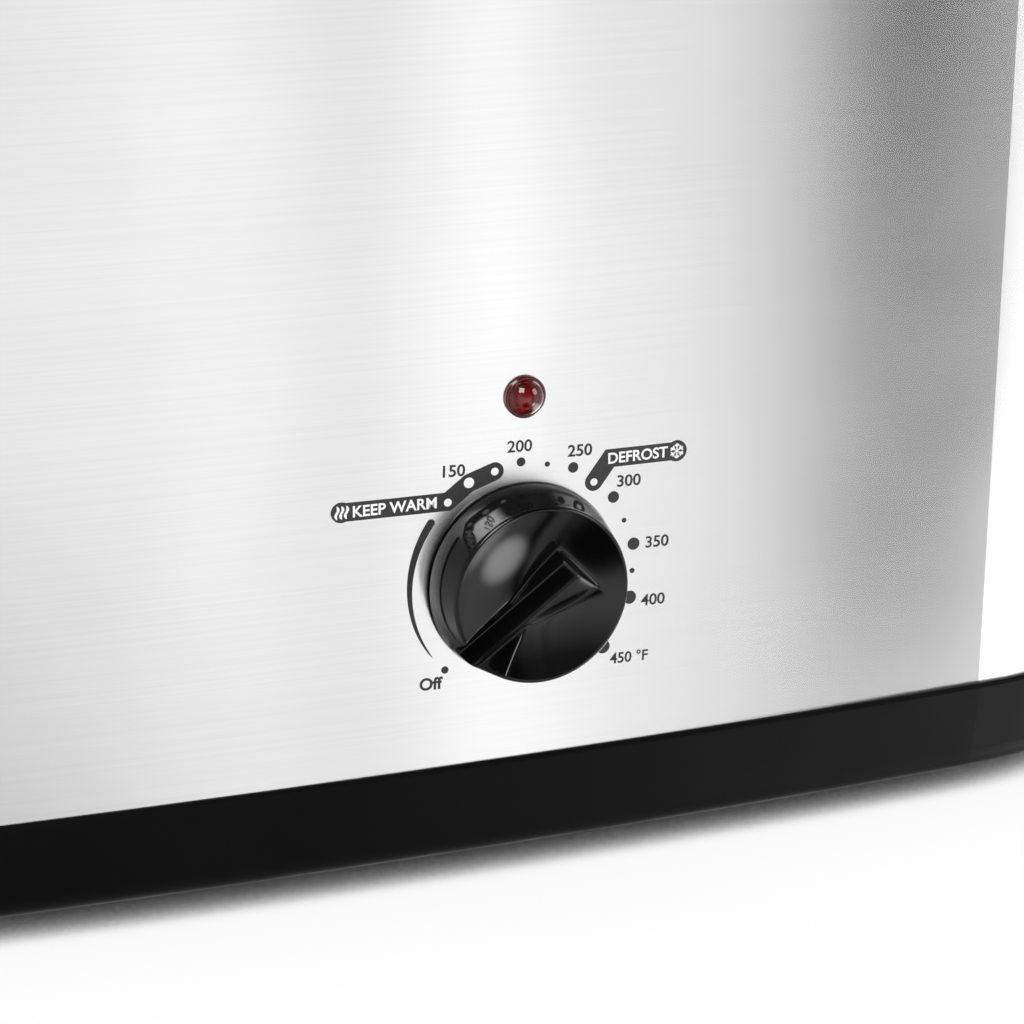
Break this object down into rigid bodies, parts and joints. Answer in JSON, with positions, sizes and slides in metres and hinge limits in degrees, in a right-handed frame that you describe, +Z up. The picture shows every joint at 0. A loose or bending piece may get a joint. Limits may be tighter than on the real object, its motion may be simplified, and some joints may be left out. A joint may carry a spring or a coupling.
{
  "type": "electric roaster oven",
  "caption": "Countertop roaster oven: bowed oval steel body with a control knob, lift-out pan and rack, and a domed lid on open-topped rear hinges.",
  "frame": {"origin": "on the floor, under the middle of the whole object's box", "axes": "+Z up, front with the knob towards -Y, +X to the right seen from the front"},
  "size_m": [0.608, 0.4122, 0.3119],
  "materials": {
    "brushed_steel": "brushed",
    "polished_steel": "polished",
    "black_moulding": "satin",
    "gloss_black": "gloss",
    "rubber_feet": "matte",
    "liner_steel": "satin",
    "heater_steel": "satin",
    "glass_wool": "matte",
    "shield_aluminium": "satin",
    "zinc_steel": "satin",
    "thermostat_ceramic": "matte",
    "bezel_black": "satin",
    "lamp_red": "gloss",
    "neon_glass": "gloss",
    "black_enamel": "gloss",
    "chrome_wire": "polished"
  },
  "bodies": {
    "body": {"base_skirt": "black_moulding", "foot_front_left": "rubber_feet", "foot_front_right": "rubber_feet", "foot_rear_left": "rubber_feet", "foot_rear_right": "rubber_feet", "outer_shell": "brushed_steel", "rear_panel": "brushed_steel", "heating_well": "liner_steel", "heater_band": "heater_steel", "clamp_bolt": "zinc_steel", "clamp_spring": "zinc_steel", "insulation_blanket": "glass_wool", "heat_shield": "shield_aluminium", "lower_spacers": "zinc_steel", "upper_spacers": "zinc_steel", "tie_bolts": "zinc_steel", "thermostat_bracket": "liner_steel", "thermostat_body": "thermostat_ceramic", "thermostat_nut": "zinc_steel", "lamp_bezel": "bezel_black", "lamp_lens": "lamp_red", "neon_lamp": "neon_glass", "lamp_clip": "zinc_steel", "cord_bushing": "black_moulding", "bushing_nut": "black_moulding", "terminal_block": "thermostat_ceramic", "side_handle_left": "black_moulding", "side_handle_right": "black_moulding", "handle_screws_left": "zinc_steel", "handle_screws_right": "zinc_steel", "hinge_bracket_left": "black_moulding", "hinge_bracket_right": "black_moulding", "hinge_screws_left": "zinc_steel", "hinge_screws_right": "zinc_steel"},
    "knob": {"control_knob": "gloss_black", "thermostat_shaft": "zinc_steel", "knob_clip": "zinc_steel"},
    "pan": {"roasting_pan": "black_enamel"},
    "rack": {"roasting_rack": "chrome_wire", "rack_loop_left": "chrome_wire", "rack_loop_right": "chrome_wire"},
    "lid": {"lid_shell": "polished_steel", "lid_handle": "black_moulding", "lid_handle_screws": "zinc_steel", "lid_arm_left": "zinc_steel", "lid_arm_right": "zinc_steel", "hinge_pin_left": "zinc_steel", "hinge_pin_right": "zinc_steel", "lid_rivets_left": "zinc_steel", "lid_rivets_right": "zinc_steel"}
  },
  "joints": [
    {"name": "knob_turn", "type": "hinge", "parent": "body", "child": "knob", "pos_m": [0, -0.18832, 0.0834], "axis": [0, 1, 0], "range_deg": [0, 270]},
    {"name": "pan_lift", "type": "slide", "parent": "body", "child": "pan", "axis": [0, 0, 1], "range_m": [0, 0.2]},
    {"name": "rack_lift", "type": "slide", "parent": "pan", "child": "rack", "axis": [0, 0, 1], "range_m": [0, 0.11]},
    {"name": "lid_hinge", "type": "hinge", "parent": "pan", "child": "lid", "pos_m": [0, 0.19612, 0.25], "axis": [-1, 0, 0], "range_deg": [0, 95]}
  ]
}
